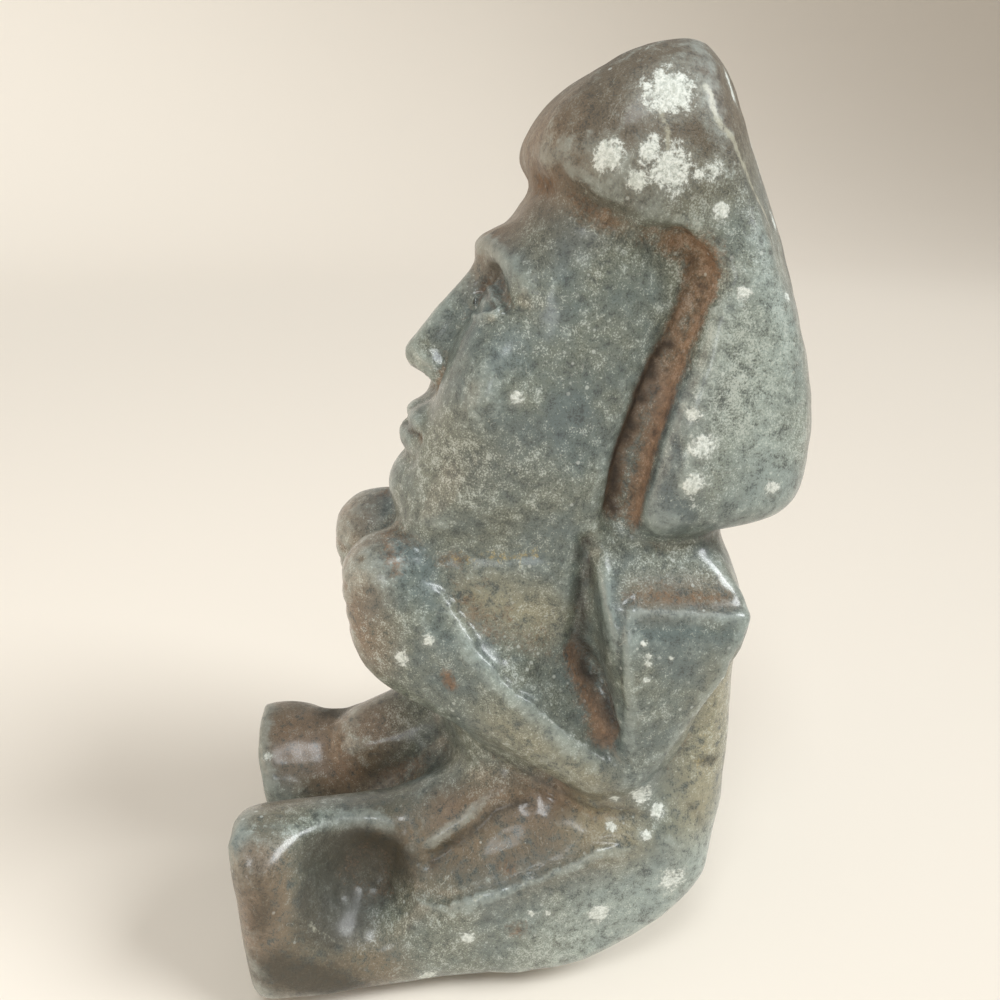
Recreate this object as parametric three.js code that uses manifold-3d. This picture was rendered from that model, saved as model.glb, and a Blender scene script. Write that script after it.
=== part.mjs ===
// A seated warrior carved from one grey-green stone: hooded head thrown back, chin on its
// raised hands, elbows on its thighs and thick feet set toes up in front of it.
// Millimetres, +Z up. The figure faces -Y, its left side is +X, and it sits on z = 0.
import * as THREE from "three";
import Module from "manifold-3d";
import { SimplifyModifier } from "three/addons/modifiers/SimplifyModifier.js";

// The one driving dimension: underside to crown. The carving below is set out in
// hundredths of this height, called parts, as a carver steps off a block.
const HEIGHT = 240;
const PART = HEIGHT / 100;

// Places and radii are in parts, [x, y, z]. Paired forms are given for the left side.
// How far the head is thrown back, in degrees, and where its brow meets the middle.
const HEAD_LEAN = 23;
const BROW = [0, -0.5, 82];
// Brow to chin. The face below is laid out in shares of it.
const FACE = 30;
// How much lower the right foot stands than the left one, and how much further forward.
const RIGHT_FOOT_DROP = 4.5;
const RIGHT_FOOT_REACH = 1.2;
// How much further forward the right hand reaches than the left one.
const RIGHT_HAND_REACH = 1.5;

// The fillets worn between forms come in three widths. The lower edge has one of its own.
const CRISP = 1.5;
const WORN = 2;
const FLOWING = 3;
const LOWER_EDGE = 5;

// Spacing of the first facets in parts, how often they are evened out, and how many
// points are kept of them.
const FACET = 1.3;
const EVENING_ROUNDS = 2;
const KEPT_POINTS = 4750;
// Facets smaller than this, in millimetres, are merged away.
const CRUMB = 0.02;
// The block the figure is cut from.
const BLOCK = { low: [-25, -38, -3], high: [25, 40, 103] };

const mix = (a, b, t) => a + (b - a) * t;
const clamp01 = (t) => Math.min(1, Math.max(0, t));
const radians = THREE.MathUtils.degToRad;

// Signed distances: negative inside the stone. Each form is a function of a point [x, y, z].

// Two forms worn into one another, with a fillet about as wide as soft.
function join(a, b, soft) {
  const h = Math.max(soft - Math.abs(a - b), 0) / soft;
  return Math.min(a, b) - (h * h * soft) / 4;
}
const cut = (stone, tool, soft) => -join(-stone, tool, soft);
const common = (a, b, soft) => -join(-a, -b, soft);

// A point seen from a frame at place whose upright is leaned back by lean degrees.
function leaned([x, y, z], [cx, cy, cz], lean) {
  const s = Math.sin(radians(lean));
  const c = Math.cos(radians(lean));
  const dy = y - cy;
  const dz = z - cz;
  return [x - cx, dy * c - dz * s, dy * s + dz * c];
}

// An egg of three radii, leaned back by lean degrees.
function egg(p, place, [rx, ry, rz], lean = 0) {
  const [x, y, z] = leaned(p, place, lean);
  const k0 = Math.hypot(x / rx, y / ry, z / rz);
  const k1 = Math.hypot(x / rx ** 2, y / ry ** 2, z / rz ** 2);
  return k1 < 1e-9 ? -Math.min(rx, ry, rz) : (k0 * (k0 - 1)) / k1;
}

// A limb from a to b, tapering from one radius to the other.
function limb([x, y, z], a, b, ra, rb) {
  const ab = [b[0] - a[0], b[1] - a[1], b[2] - a[2]];
  const ap = [x - a[0], y - a[1], z - a[2]];
  const along = ab[0] * ap[0] + ab[1] * ap[1] + ab[2] * ap[2];
  const t = clamp01(along / (ab[0] ** 2 + ab[1] ** 2 + ab[2] ** 2));
  return Math.hypot(ap[0] - ab[0] * t, ap[1] - ab[1] * t, ap[2] - ab[2] * t) - mix(ra, rb, t);
}

// A block with rounded edges, leaned back by lean degrees.
function block(p, place, half, round, lean = 0) {
  const past = leaned(p, place, lean).map((v, i) => Math.abs(v) - half[i] + round);
  const outside = Math.hypot(...past.map((v) => Math.max(v, 0)));
  return outside + Math.min(Math.max(...past), 0) - round;
}

// The space in front of a flat face through a point, facing the given way.
function face([x, y, z], place, way) {
  const length = Math.hypot(...way);
  return ((x - place[0]) * way[0] + (y - place[1]) * way[1] + (z - place[2]) * way[2]) / length;
}

// A closed outline of the side view, a smooth curve through a few [y, z] points.
function outline(points) {
  const curve = new THREE.CatmullRomCurve3(
    points.map(([y, z]) => new THREE.Vector3(0, y, z)),
    true,
    "centripetal",
  );
  return curve.getPoints(points.length * 4).slice(0, -1);
}

// Distance to an outline in the side view, negative within it.
function within([, y, z], line) {
  let nearest = Infinity;
  let inside = false;
  for (let i = 0, j = line.length - 1; i < line.length; j = i++) {
    const a = line[j];
    const b = line[i];
    const ey = b.y - a.y;
    const ez = b.z - a.z;
    const t = clamp01(((y - a.y) * ey + (z - a.z) * ez) / (ey * ey + ez * ez));
    nearest = Math.min(nearest, Math.hypot(y - a.y - ey * t, z - a.z - ez * t));
    if (a.z > z !== b.z > z && y < a.y + ((z - a.z) / ez) * ey) inside = !inside;
  }
  return inside ? -nearest : nearest;
}

// A cushion: a side outline carried half its width each way, with round edges.
function cushion(p, line, halfWidth, round) {
  const side = within(p, line) + round;
  const across = Math.abs(p[0]) - halfWidth + round;
  const outside = Math.hypot(Math.max(side, 0), Math.max(across, 0));
  return outside + Math.min(Math.max(side, across), 0) - round;
}

// A groove of one radius along a chain of places.
function groove(p, chain, radius) {
  return Math.min(...chain.slice(1).map((to, i) => limb(p, chain[i], to, radius, radius)));
}

// The hood: a heavy rounded crown whose brim juts over the brow, and a thick flap down
// the back of the head and neck.
const CROWN_LINE = outline([
  [4, 84],
  [2.7, 91],
  [5.6, 95.6],
  [11.8, 99.2],
  [17.6, 99.8],
  [22.8, 97],
  [25.6, 90.5],
  [29, 80],
  [26, 72],
  [14, 72],
]);
const CROWN = { halfWidth: 13.4, round: 9 };
// The underside of the brim: a point of it and the way it faces.
const BRIM = { place: [0, 9, 84.2], way: [0, -0.43, -0.9] };
const FLAP_LINE = outline([
  [11.2, 57.5],
  [12.2, 67],
  [14.2, 74],
  [17, 81],
  [22, 87],
  [26.4, 86],
  [30.4, 73],
  [31.4, 62],
  [29.8, 57.4],
  [22, 55.2],
  [13, 55],
]);
// The flap widens from its top to its foot, and its sides curve in behind a given y.
const FLAP = { top: 86, foot: 56, topHalfWidth: 14, footHalfWidth: 16.4, round: 4.8 };
const FLAP_BACK = { from: 23, slowness: 20 };
// The soft edge behind each side of the hood: a point of it and the way the back faces.
const HOOD_CHAMFER = { place: [11, 22.3, 85.8], way: [0.52, 0.82, 0.41] };

function hood(p) {
  const mirrored = [Math.abs(p[0]), p[1], p[2]];
  const dome = cushion(p, CROWN_LINE, CROWN.halfWidth, CROWN.round);
  const crown = common(dome, face(p, BRIM.place, BRIM.way), FLOWING);
  const down = clamp01((FLAP.top - p[2]) / (FLAP.top - FLAP.foot));
  const halfWidth = mix(FLAP.topHalfWidth, FLAP.footHalfWidth, down);
  const curvedIn = Math.max(p[1] - FLAP_BACK.from, 0) ** 2 / FLAP_BACK.slowness;
  const flap = cushion(p, FLAP_LINE, halfWidth - curvedIn, FLAP.round);
  const chamfer = face(mirrored, HOOD_CHAMFER.place, HOOD_CHAMFER.way);
  return common(join(crown, flap, FLOWING), chamfer, WORN);
}

// The groove that runs from under the side of the brim down in front of the flap.
const HOOD_GROOVE = [
  [12.4, 12.4, 82.4],
  [13, 15.6, 80],
  [12.9, 14.6, 76],
  [12.8, 12.8, 70],
  [12.6, 11.2, 64],
  [12.3, 10.2, 57],
];
const HOOD_GROOVE_RADIUS = 1.4;

// The head inside the hood, its long jaw resting on the hands, and the neck behind.
const HEAD_LINE = outline([
  [8, 91],
  [3.4, 87.2],
  [-0.4, 82],
  [-4.6, 72],
  [-8.8, 62],
  [-11.6, 56],
  [-9.5, 52],
  [0, 50.5],
  [14, 50],
  [25, 62],
  [25, 80],
  [16, 92],
]);

// The head is widest at one height and tapers by the square of the distance from it.
const HEAD = { widest: 68, halfWidth: 12.2, taper: 0.004, round: 8.5 };
const NECK = { place: [0, 12, 54], half: [12.4, 11, 12], round: 5 };

function head(p) {
  const halfWidth = HEAD.halfWidth - HEAD.taper * (p[2] - HEAD.widest) ** 2;
  const skull = cushion(p, HEAD_LINE, halfWidth, HEAD.round);
  return join(skull, block(p, NECK.place, NECK.half, NECK.round), FLOWING);
}

// The face, in shares of brow to chin: eyes a sixth down, nose to the half, mouth a
// third of the way from there to the chin. It is calm and level, with closed lips.
// Each form has its place from the middle of the brow, its radii and its fillet.
const BROW_RIDGE = { from: [0.03, 0.01, 0.005], to: [0.3, 0.16, -0.05], radii: [0.06, 0.04], fillet: 0.07 };
const EYE_SOCKET = { place: [0.17, -0.02, -0.155], radii: [0.13, 0.075, 0.085], fillet: 0.06 };
const NOSE = { from: [0, 0.02, -0.04], to: [0, -0.1, -0.42], radii: [0.055, 0.068], fillet: 0.05 };
const EYE = { place: [0.17, 0.07, -0.16], radii: [0.1, 0.075, 0.06], fillet: 0.02 };
const CHEEK = { place: [0.22, 0.1, -0.4], radii: [0.17, 0.1, 0.19], fillet: 0.14 };
const NOSE_WING = { place: [0.068, -0.055, -0.44], radii: [0.045, 0.06, 0.048], fillet: 0.03 };
const MOUTH = { place: [0, 0.05, -0.665], radii: [0.2, 0.105, 0.13], fillet: 0.06 };
const UPPER_LIP = { place: [0.04, -0.04, -0.636], radii: [0.11, 0.04, 0.036], fillet: 0.03 };
const LOWER_LIP = { place: [0, -0.036, -0.71], radii: [0.11, 0.048, 0.042], fillet: 0.03 };
const CHIN = { place: [0, 0.05, -0.87], radii: [0.14, 0.1, 0.1], fillet: 0.09 };

function features(p, stone) {
  const [x, y, z] = leaned(p, BROW, HEAD_LEAN).map((v) => v / FACE);
  const at = [Math.abs(x), y, z];
  let d = stone / FACE;
  d = join(d, limb(at, BROW_RIDGE.from, BROW_RIDGE.to, ...BROW_RIDGE.radii), BROW_RIDGE.fillet);
  d = cut(d, egg(at, EYE_SOCKET.place, EYE_SOCKET.radii), EYE_SOCKET.fillet);
  d = join(d, limb(at, NOSE.from, NOSE.to, ...NOSE.radii), NOSE.fillet);
  for (const form of [EYE, CHEEK, NOSE_WING, MOUTH, UPPER_LIP, LOWER_LIP, CHIN]) {
    d = join(d, egg(at, form.place, form.radii), form.fillet);
  }
  return d * FACE;
}

// The trunk: a plain rounded back over a broad seat, with the chest set in from it.
const BACK_LINE = outline([
  [10.6, 46],
  [14, 54.5],
  [21, 53.6],
  [25, 48],
  [25, 38],
  [25, 27],
  [24.4, 18.5],
  [21.2, 10.6],
  [15.2, 3.4],
  [6.4, -7],
  [-5, 0],
  [-3, 12],
  [2, 20],
  [9.4, 31],
]);

// The trunk narrows by a tenth of its height on each side, from the width at the seat.
const TRUNK = { halfWidth: 21.4, narrowing: 0.12, round: 6.5 };
const CHEST = { place: [0, 3.4, 41.5], half: [12.4, 9, 12.5], round: 3 };
const BREAST = { place: [0, 0, 47], half: [10.2, 11, 8.4], round: 4.5 };
const BELLY = { place: [0, 2, 27], radii: [12.5, 9.5, 14] };

function trunk(p) {
  const back = cushion(p, BACK_LINE, TRUNK.halfWidth - p[2] * TRUNK.narrowing, TRUNK.round);
  const chest = block(p, CHEST.place, CHEST.half, CHEST.round);
  const breast = block(p, BREAST.place, BREAST.half, BREAST.round);
  const front = join(join(back, chest, WORN), breast, WORN);
  return join(front, egg(p, BELLY.place, BELLY.radii), FLOWING);
}

// The arms: the upper arm hangs from a squared shoulder to an elbow on the thigh, and
// the forearm climbs from it to a hand closed under the chin.
const UPPER_ARM_LINE = outline([
  [8.4, 54],
  [8.5, 44],
  [10.2, 34],
  [9.8, 27.6],
  [13, 27.2],
  [18.4, 35.6],
  [23.2, 44],
  [23.4, 48],
  [20, 53],
  [13, 56],
]);
const UPPER_ARM = { middle: 14, halfWidth: 5.3, round: 2.2 };
// The squared shoulder: a point of its edge and the way its top slopes.
const SHOULDER = { place: [19, 14, 47.4], way: [0.72, 0, 0.69] };
const FOREARM = { elbow: [14.3, 9, 29.8], wrist: [7.8, -9.5, 42], radii: [5.2, 7] };
const HAND = { place: [6, -12, 46.2], half: [5.9, 5.7, 7.4], round: 5, lean: -10 };
// The crest of the forearm, its flat outer side below, the slope above, and the hollow
// along it that runs up to the jaw.
const FOREARM_CREST = [15.4, -2.2, 39.8];
const FOREARM_SIDE = [1, -0.33, 0.01];
const FOREARM_SLOPE = [1, 0.1, 0.42];
const FOREARM_HOLLOW = { from: [22.4, 9.6, 36.2], to: [16.8, -6.5, 53.1], radius: 7 };

// A point of the left arm, brought forward for the right one towards the hand.
function armPlace(p, side) {
  const reach = side < 0 ? RIGHT_HAND_REACH : 0;
  const up = clamp01((p[2] - FOREARM.elbow[2]) / (HAND.place[2] - FOREARM.elbow[2]));
  return [p[0] * side, p[1] + reach * up, p[2]];
}

function upperArm(p, side) {
  const at = armPlace(p, side);
  const outward = [at[0] - UPPER_ARM.middle, at[1], at[2]];
  const slab = cushion(outward, UPPER_ARM_LINE, UPPER_ARM.halfWidth, UPPER_ARM.round);
  return common(slab, face(at, SHOULDER.place, SHOULDER.way), CRISP);
}

function forearm(p, side) {
  const at = armPlace(p, side);
  const fore = limb(at, FOREARM.elbow, FOREARM.wrist, ...FOREARM.radii);
  const hand = block(at, HAND.place, HAND.half, HAND.round, HAND.lean);
  const sided = common(join(fore, hand, FLOWING), face(at, FOREARM_CREST, FOREARM_SIDE), WORN);
  return common(sided, face(at, FOREARM_CREST, FOREARM_SLOPE), CRISP);
}

function forearmHollow(p, side) {
  const { from, to, radius } = FOREARM_HOLLOW;
  return limb(armPlace(p, side), from, to, radius, radius);
}

// The legs: thighs and shins in one along the ground, with a ledge along the outer side,
// a ridge along the top, and thick feet hollowed on their outer sides.
const LEG_LINE = outline([
  [16, 22.5],
  [6, 20.3],
  [-8, 15.4],
  [-20, 12],
  [-29, 11],
  [-30.4, 2],
  [-26, -9],
  [-6, -9],
  [7, 0.6],
  [17, 8.6],
  [21, 16],
]);

const LEDGE = { middle: 12, halfWidth: 8, round: 2 };
const SHIN = { foot: [8.4, -17, 13], knee: [9, 1, 17.6], radii: [5.2, 7.2] };
const FOOT = { place: [11.8, -22.4, 7], half: [7.8, 8.8, 17.5], round: 3.2, lean: -4 };
// The sloping top of the foot: a point of it, and how much it falls towards the shin.
const TOES = { place: [0, -28, 21.8], fall: 0.14, rightFall: 0.02 };
// The foot's top falls away to its inner side too: a point of that slope and its way.
const INSTEP = { place: [9, -22, 21.4], way: [-0.62, 0, 0.78] };
// The hollow in the foot's outer side, and its deeper end towards the shin.
const SCOOP = { place: [22, -19.6, 19.6], radii: [9.8, 7.6, 10.6], lean: -8 };
const SCOOP_END = { place: [18, -17.6, 15.4], radii: [6.6, 5.4, 7], lean: 0 };
// How much less deep the right foot is hollowed.
const RIGHT_SCOOP_OUT = 1.8;

function leg(p, side) {
  const at = [p[0] * side, p[1], p[2]];
  const right = side < 0;
  const drop = right ? RIGHT_FOOT_DROP : 0;
  const reach = right ? RIGHT_FOOT_REACH : 0;
  // A place of the left leg lowered and brought forward for the right one.
  const moved = ([x, y, z], share, forward = 0) => [x, y - reach * forward, z - drop * share];
  const outward = [at[0] - LEDGE.middle, at[1], at[2]];
  const ledge = cushion(outward, LEG_LINE, LEDGE.halfWidth, LEDGE.round);
  const shin = limb(at, moved(SHIN.foot, -0.5), moved(SHIN.knee, -0.5), ...SHIN.radii);
  const half = moved(FOOT.half, 0.5);
  const foot = block(at, moved(FOOT.place, 0.5, 1), half, FOOT.round, FOOT.lean);
  const fall = right ? TOES.rightFall : TOES.fall;
  const sloped = common(foot, face(at, moved(TOES.place, 1), [0, fall, 1]), CRISP);
  const narrowed = common(sloped, face(at, moved(INSTEP.place, 1), INSTEP.way), WORN);
  const whole = join(join(ledge, shin, WORN), narrowed, WORN);
  const out = right ? RIGHT_SCOOP_OUT : 0;
  const shallow = ([x, y, z]) => [x + out, y, z];
  const scooped = (d, { place, radii, lean }) =>
    cut(d, egg(at, shallow(moved(place, 1)), radii, lean), WORN);
  return [SCOOP, SCOOP_END].reduce(scooped, whole);
}

// The web of stone left in the valley between the legs, and what fills the space
// between the hands.
const WEB = { from: [0, -14, -3], to: [0, -2, 6], radii: [12, 13] };
const BETWEEN_HANDS = { place: [0, -8, 47], radii: [5, 5, 7] };

// The whole carving, before the underside is sawn flat.
function stone(p) {
  const mirrored = [Math.abs(p[0]), p[1], p[2]];
  const legs = join(leg(p, 1), leg(p, -1), WORN);
  const lower = join(join(trunk(p), legs, FLOWING), limb(p, WEB.from, WEB.to, ...WEB.radii), FLOWING);
  const between = egg(p, BETWEEN_HANDS.place, BETWEEN_HANDS.radii);
  const hands = join(join(forearm(p, 1), forearm(p, -1), CRISP), between, WORN);
  let body = join(join(lower, head(p), WORN), hands, WORN);
  for (const side of [1, -1]) body = cut(body, forearmHollow(p, side), CRISP);
  for (const side of [1, -1]) body = join(body, upperArm(p, side), CRISP);
  const hooded = join(features(p, body), hood(p), CRISP);
  return cut(hooded, groove(mirrored, HOOD_GROOVE, HOOD_GROOVE_RADIUS), WORN);
}

// The figure with its lower edge worn round. The underside rises to the sides and to the
// back corners: a point where each slope starts, and its way. The rest is left a little
// low, to be sawn off flat at z = 0.
const SIDE_RISE = { place: [17.6, 0, 0], way: [0.56, 0, -0.83] };
const CORNER_RISE = { place: [13, 10, 0], way: [0.44, 0.4, -0.8] };
const SAWN_OFF = 0.3;

function figure(p) {
  const mirrored = [Math.abs(p[0]), p[1], p[2]];
  const risen = (d, { place, way }) => common(d, face(mirrored, place, way), FLOWING);
  return common([SIDE_RISE, CORNER_RISE].reduce(risen, stone(p)), -p[2] - SAWN_OFF, LOWER_EDGE);
}

// Evenly spaced grid lines that cover low to high, none of them at zero.
function gridLines(low, high, step) {
  const first = Math.floor(low / step);
  const count = Math.ceil(high / step) - first + 1;
  return Array.from({ length: count }, (_, i) => (first + i + 0.5) * step);
}

// A point moved on to the surface by a few steps down its slope.
function settle(form, start) {
  const STEPS = 3;
  const NUDGE = 0.02;
  let p = start;
  for (let step = 0; step < STEPS; step++) {
    const d = form(p);
    const slope = [0, 1, 2].map((n) => {
      const q = [...p];
      q[n] += NUDGE;
      return (form(q) - d) / NUDGE;
    });
    const steep = Math.max(slope[0] ** 2 + slope[1] ** 2 + slope[2] ** 2, 0.25);
    p = p.map((v, n) => v - (d * slope[n]) / steep);
  }
  return p;
}

// Facets a form: one vertex in each grid cell that the surface crosses, and one
// four-sided face across each grid edge that it crosses.
function facet(form, { low, high }, step) {
  const lines = low.map((v, i) => gridLines(v, high[i], step));
  const [nx, ny, nz] = lines.map((l) => l.length);
  const at = (i, j, k) => (k * ny + j) * nx + i;
  const point = (i, j, k) => [lines[0][i], lines[1][j], lines[2][k]];
  const values = new Float64Array(nx * ny * nz);
  for (let k = 0; k < nz; k++)
    for (let j = 0; j < ny; j++)
      for (let i = 0; i < nx; i++) values[at(i, j, k)] = form(point(i, j, k));

  const vertices = [];
  const vertexOf = new Map();
  const corners = [0, 1, 2, 3, 4, 5, 6, 7].map((n) => [n & 1, (n >> 1) & 1, (n >> 2) & 1]);
  const edges = corners.flatMap((a, m) =>
    corners.flatMap((b, n) => (m < n && [1, 2, 4].includes(m ^ n) ? [[a, b]] : [])),
  );
  const crossing = (i, j, k, [a, b]) => {
    const va = values[at(i + a[0], j + a[1], k + a[2])];
    const vb = values[at(i + b[0], j + b[1], k + b[2])];
    if (va < 0 === vb < 0) return null;
    const pb = point(i + b[0], j + b[1], k + b[2]);
    return point(i + a[0], j + a[1], k + a[2]).map((v, n) => mix(v, pb[n], va / (va - vb)));
  };
  for (let k = 0; k < nz - 1; k++)
    for (let j = 0; j < ny - 1; j++)
      for (let i = 0; i < nx - 1; i++) {
        const crossings = edges.map((edge) => crossing(i, j, k, edge)).filter(Boolean);
        if (!crossings.length) continue;
        vertexOf.set(at(i, j, k), vertices.length);
        vertices.push([0, 1, 2].map((n) => crossings.reduce((s, c) => s + c[n], 0) / crossings.length));
      }

  const quads = [];
  const quad = (inside, ...cells) => {
    const ring = cells.map((c) => vertexOf.get(c));
    quads.push(inside ? ring : ring.reverse());
  };
  for (let k = 1; k < nz - 1; k++)
    for (let j = 1; j < ny - 1; j++)
      for (let i = 1; i < nx - 1; i++) {
        const inside = values[at(i, j, k)] < 0;
        if (inside !== values[at(i + 1, j, k)] < 0)
          quad(inside, at(i, j - 1, k - 1), at(i, j, k - 1), at(i, j, k), at(i, j - 1, k));
        if (inside !== values[at(i, j + 1, k)] < 0)
          quad(inside, at(i - 1, j, k - 1), at(i - 1, j, k), at(i, j, k), at(i, j, k - 1));
        if (inside !== values[at(i, j, k + 1)] < 0)
          quad(inside, at(i - 1, j - 1, k), at(i, j - 1, k), at(i, j, k), at(i - 1, j, k));
      }
  return { vertices, quads };
}

// Evens out the facets: each vertex is drawn towards the middle of its neighbours, then
// laid back on the surface.
function evenOut(form, { vertices, quads }, rounds) {
  const beside = vertices.map(() => new Set());
  for (const ring of quads)
    ring.forEach((v, n) => {
      beside[v].add(ring[(n + 1) % 4]);
      beside[v].add(ring[(n + 3) % 4]);
    });
  let places = vertices;
  for (let round = 0; round < rounds; round++) {
    places = places.map((p, v) => {
      const near = [...beside[v]];
      const middle = [0, 1, 2].map((n) => near.reduce((s, u) => s + places[u][n], 0) / near.length);
      return settle(form, p.map((value, n) => mix(value, middle[n], 0.5)));
    });
  }
  return places;
}

// Halves each four-sided face along the diagonal that lies nearer to the surface.
function halve(form, places, quads) {
  const off = (a, b) => Math.abs(form(places[a].map((v, n) => (v + places[b][n]) / 2)));
  return quads.flatMap(([a, b, c, d]) =>
    off(a, c) <= off(b, d) ? [a, b, c, a, c, d] : [a, b, d, b, c, d],
  );
}

const rough = facet(figure, BLOCK, FACET);
const places = evenOut(figure, rough, EVENING_ROUNDS);
const fine = new THREE.BufferGeometry();
fine.setAttribute("position", new THREE.Float32BufferAttribute(places.flat(), 3));
fine.setIndex(halve(figure, places, rough.quads));
const worn = await new SimplifyModifier().modify(fine, places.length - KEPT_POINTS);
worn.scale(PART, PART, PART);

// Saws the underside off flat, which closes the body with one face at z = 0.
async function sawFlat(shape) {
  const shop = await Module();
  shop.setup();
  const body = new shop.Mesh({
    numProp: 3,
    vertProperties: Float32Array.from(shape.attributes.position.array),
    triVerts: Uint32Array.from(shape.index.array),
  });
  const sawn = new shop.Manifold(body).trimByPlane([0, 0, 1], 0).simplify(CRUMB).getMesh();
  const points = Array.from(sawn.vertProperties, (v, n) => (n % 3 === 2 && v < CRUMB ? 0 : v));
  const flat = new THREE.BufferGeometry();
  flat.setAttribute("position", new THREE.Float32BufferAttribute(points, 3));
  flat.setIndex(Array.from(sawn.triVerts));
  return flat;
}

const geometry = await sawFlat(worn);
geometry.computeVertexNormals();

const stoneMaterial = new THREE.MeshStandardMaterial({ color: 0x7f8a80, roughness: 0.42, metalness: 0 });
const carving = new THREE.Mesh(geometry, stoneMaterial);
carving.name = "stone_warrior";

const warrior = new THREE.Group();
warrior.add(carving);

export default warrior;
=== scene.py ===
"""A seated warrior carved from one grey-green stone, on a pale floor in soft light."""
import math

import bpy
import numpy as np
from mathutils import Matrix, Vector


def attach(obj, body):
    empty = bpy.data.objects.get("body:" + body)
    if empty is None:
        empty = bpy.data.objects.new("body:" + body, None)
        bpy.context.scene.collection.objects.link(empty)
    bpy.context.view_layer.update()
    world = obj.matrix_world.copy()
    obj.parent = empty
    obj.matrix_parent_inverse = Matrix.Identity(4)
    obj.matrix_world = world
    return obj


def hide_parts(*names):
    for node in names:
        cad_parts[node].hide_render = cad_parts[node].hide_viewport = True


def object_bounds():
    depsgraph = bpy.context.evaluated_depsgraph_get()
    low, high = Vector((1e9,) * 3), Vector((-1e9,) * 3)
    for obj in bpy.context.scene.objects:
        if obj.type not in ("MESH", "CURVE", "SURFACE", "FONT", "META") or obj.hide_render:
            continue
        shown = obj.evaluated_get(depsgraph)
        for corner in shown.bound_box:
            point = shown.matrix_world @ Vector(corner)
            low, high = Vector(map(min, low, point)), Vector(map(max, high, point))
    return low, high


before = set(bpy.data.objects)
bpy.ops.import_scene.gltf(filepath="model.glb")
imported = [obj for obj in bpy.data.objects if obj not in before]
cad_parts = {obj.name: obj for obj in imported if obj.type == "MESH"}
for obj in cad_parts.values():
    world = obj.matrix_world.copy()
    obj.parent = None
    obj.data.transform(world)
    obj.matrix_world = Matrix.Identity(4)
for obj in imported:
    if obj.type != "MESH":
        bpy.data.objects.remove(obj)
cad_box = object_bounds()

# Places and widths on the figure are in parts, hundredths of its height, measured from
# the middle of its underside. The figure faces -Y and its left side is +X.
HEIGHT = 0.24
PART = HEIGHT / 100
# The voxels that the fine form is carved in, in metres.
GRAIN = 0.00114


def deselect():
    bpy.ops.object.select_all(action="DESELECT")


def choose(piece):
    """Makes one piece the only selected and the active one."""
    deselect()
    piece.select_set(True)
    bpy.context.view_layer.objects.active = piece


def finish_with(piece, kind, **settings):
    """Adds a modifier to a piece, sets it and applies it."""
    choose(piece)
    bpy.ops.object.modifier_add(type=kind)
    modifier = piece.modifiers[-1]
    for name, value in settings.items():
        setattr(modifier, name, value)
    bpy.ops.object.modifier_apply(modifier=modifier.name)


# The camera stands where the photograph was taken from: near the figure's left side, a
# little forward of it, looking down.
CAMERA_DISTANCE = 80 * PART
CAMERA_HEIGHT = 87.5 * PART
CAMERA_AZIMUTH = math.radians(82)
CAMERA_PITCH = math.radians(22.5)
CAMERA_LENS = 27.04

heading = Vector((-math.sin(CAMERA_AZIMUTH), math.cos(CAMERA_AZIMUTH), 0))
bpy.ops.object.camera_add(location=-heading * CAMERA_DISTANCE + Vector((0, 0, CAMERA_HEIGHT)))
camera = bpy.context.object
camera.name = "camera"
camera.data.sensor_width = 36
camera.data.lens = CAMERA_LENS
camera.data.clip_start = 0.005
gaze = heading * math.cos(CAMERA_PITCH) - Vector((0, 0, math.sin(CAMERA_PITCH)))
camera.rotation_euler = gaze.to_track_quat("-Z", "Y").to_euler()
bpy.context.scene.camera = camera


class Value:
    """A socket of a finish's node tree, so that sums on it can be written as sums."""

    def __init__(self, finish, socket):
        self.finish = finish
        self.socket = socket

    def maths(self, operation, *others):
        """One sum that takes this value first."""
        return self.finish.node("Math", {"operation": operation}, self, *others)

    def __add__(self, other):
        return self.maths("ADD", other)

    __radd__ = __add__

    def __mul__(self, other):
        return self.maths("MULTIPLY", other)

    __rmul__ = __mul__

    def __sub__(self, other):
        return self.maths("SUBTRACT", other)

    def __rsub__(self, other):
        return self.finish.node("Math", {"operation": "SUBTRACT"}, other, self)

    def above(self, low, high):
        """Climbs smoothly from nought at low to one at high."""
        settings = {"interpolation_type": "SMOOTHSTEP", "clamp": True}
        return self.finish.node("MapRange", settings, self, low, high)

    def most(self, other):
        return self.maths("MAXIMUM", other)


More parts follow.
